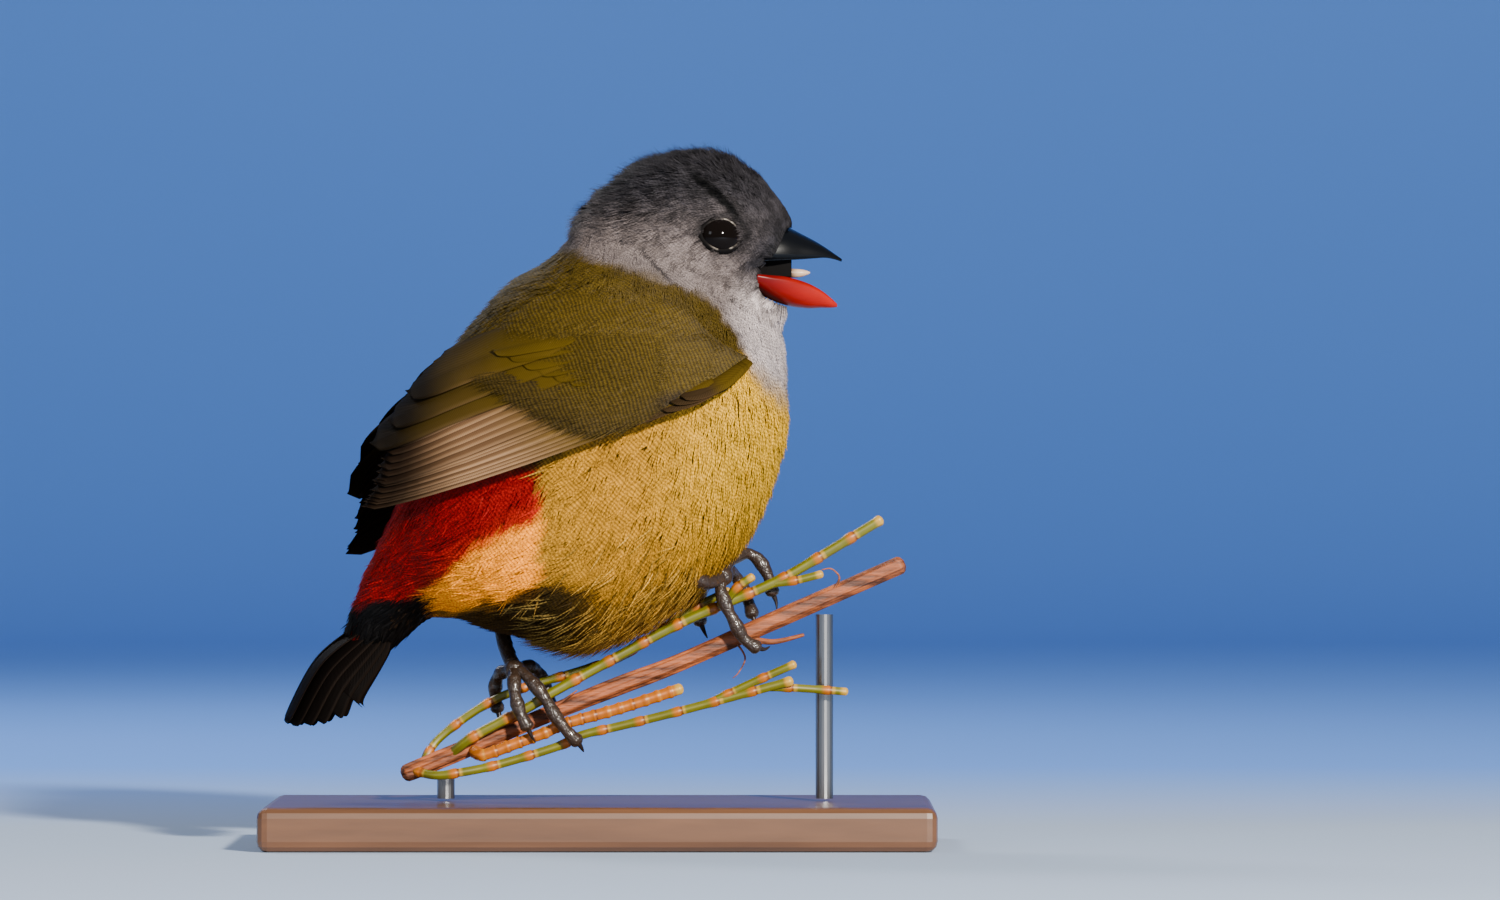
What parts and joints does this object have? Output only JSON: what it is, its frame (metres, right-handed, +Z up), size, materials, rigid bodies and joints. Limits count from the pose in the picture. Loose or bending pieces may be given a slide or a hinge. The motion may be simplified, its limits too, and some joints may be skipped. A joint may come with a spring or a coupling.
{
  "type": "waxbill bird model",
  "caption": "Life-size still model of a yellow-bellied waxbill, bill open, gripping a cut length of twig held by a small rod stand",
  "frame": {"origin": "middle of the underside of the stand's base", "axes": "+X is the way the bird looks, -Y is its right side, +Z is up"},
  "size_m": [0.076, 0.046, 0.0788],
  "materials": {
    "eye": "wet gloss",
    "claw": "satin horn",
    "leg_skin": "scaly satin",
    "wing_feathers": "matte barred feathers",
    "stem_bark": "ridged bark",
    "green_twig": "smooth green twig",
    "base_wood": "oiled",
    "rod_steel": "brushed",
    "head_plumage": "soft plumage",
    "neck_plumage": "soft plumage",
    "belly_plumage": "soft plumage",
    "rump_plumage": "soft plumage",
    "tail_feathers": "matte feathers",
    "bill_upper": "satin horn",
    "bill_lower": "satin horn",
    "tongue": "moist"
  },
  "bodies": {
    "root": {"bill_lower": "bill_lower", "bill_upper": "bill_upper", "claw_left_hallux": "claw", "claw_left_inner": "claw", "claw_left_middle": "claw", "claw_left_outer": "claw", "claw_right_hallux": "claw", "claw_right_inner": "claw", "claw_right_middle": "claw", "claw_right_outer": "claw", "eye_left": "eye", "eye_right": "eye", "foot_left": "leg_skin", "foot_right": "leg_skin", "head": "head_plumage", "neck": "neck_plumage", "perch_stem": "stem_bark", "perch_twig_lower": "green_twig", "perch_twig_rear": "green_twig", "perch_twig_short": "green_twig", "perch_twig_upper": "green_twig", "rump": "rump_plumage", "stand_base": "base_wood", "stand_rod_lower": "rod_steel", "stand_rod_upper": "rod_steel", "tail": "tail_feathers", "tarsus_left": "leg_skin", "tarsus_right": "leg_skin", "tongue": "tongue", "torso": "belly_plumage", "wing_left": "wing_feathers", "wing_right": "wing_feathers"}
  },
  "joints": []
}
